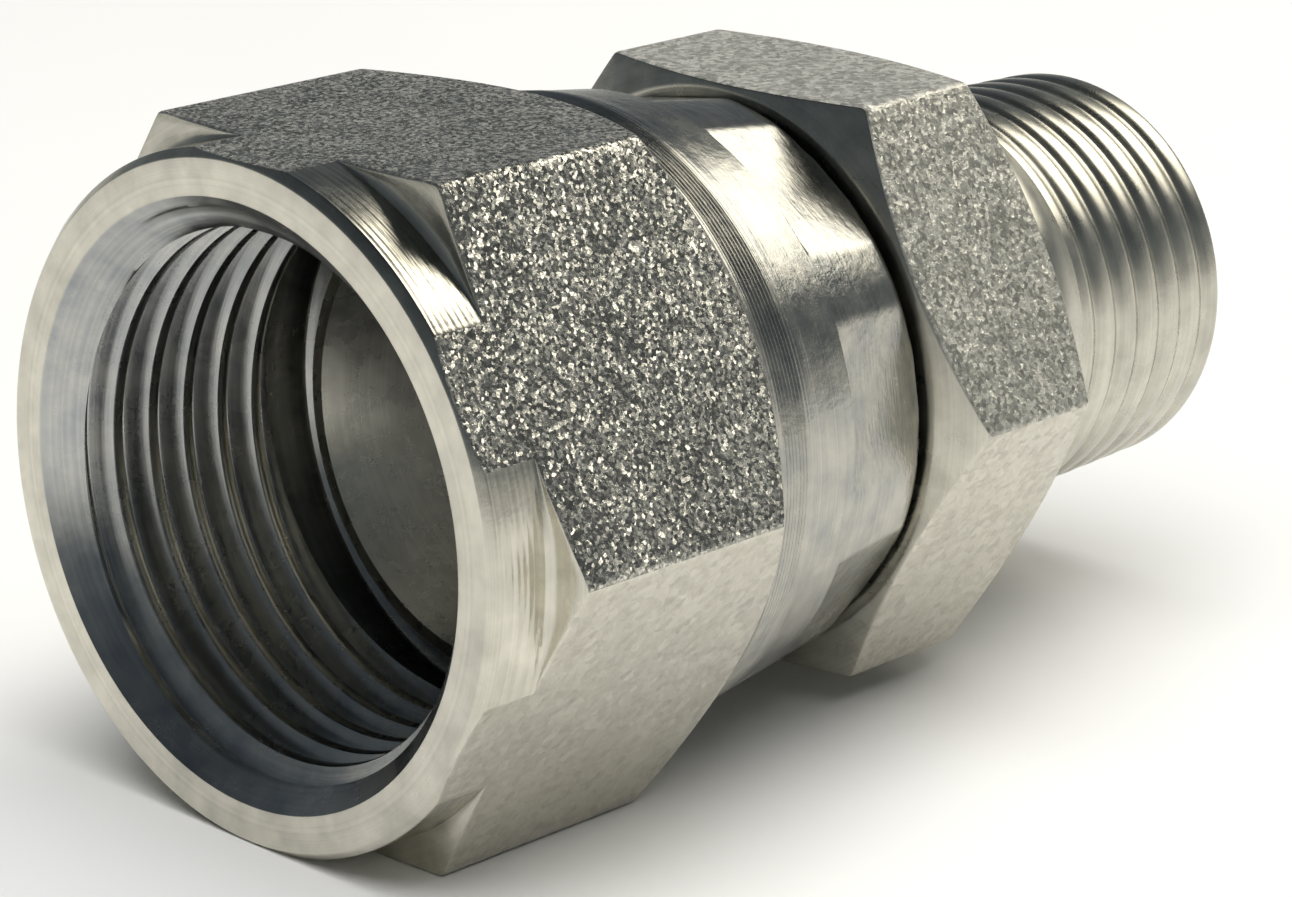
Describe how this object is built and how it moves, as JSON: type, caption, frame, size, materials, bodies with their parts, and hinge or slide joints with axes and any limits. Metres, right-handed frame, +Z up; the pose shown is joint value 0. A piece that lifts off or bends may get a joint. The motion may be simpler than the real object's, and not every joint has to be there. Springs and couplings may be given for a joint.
{
  "type": "swivel adapter",
  "caption": "Straight hydraulic swivel adapter: a hexagonal nut with an internal straight thread turns on a hexagonal body that ends in a tapered pipe thread.",
  "frame": {"origin": "on the surface that the nut's lowest flat lies on, under the middle of the length and under the axis", "axes": "+X along the bore from the mouth of the nut towards the pipe thread, +Z up through a flat of the nut, +Y across"},
  "size_m": [0.058, 0.0366, 0.0318],
  "materials": {
    "plated_steel": "clear zinc plate over turned and drawn steel"
  },
  "bodies": {
    "adapter": {"adapter_body": "plated_steel"},
    "nut": {"swivel_nut": "plated_steel"}
  },
  "joints": [
    {"name": "nut_swivel", "type": "hinge", "parent": "adapter", "child": "nut", "pos_m": [0, 0, 0.01588], "axis": [1, 0, 0], "continuous": true}
  ]
}
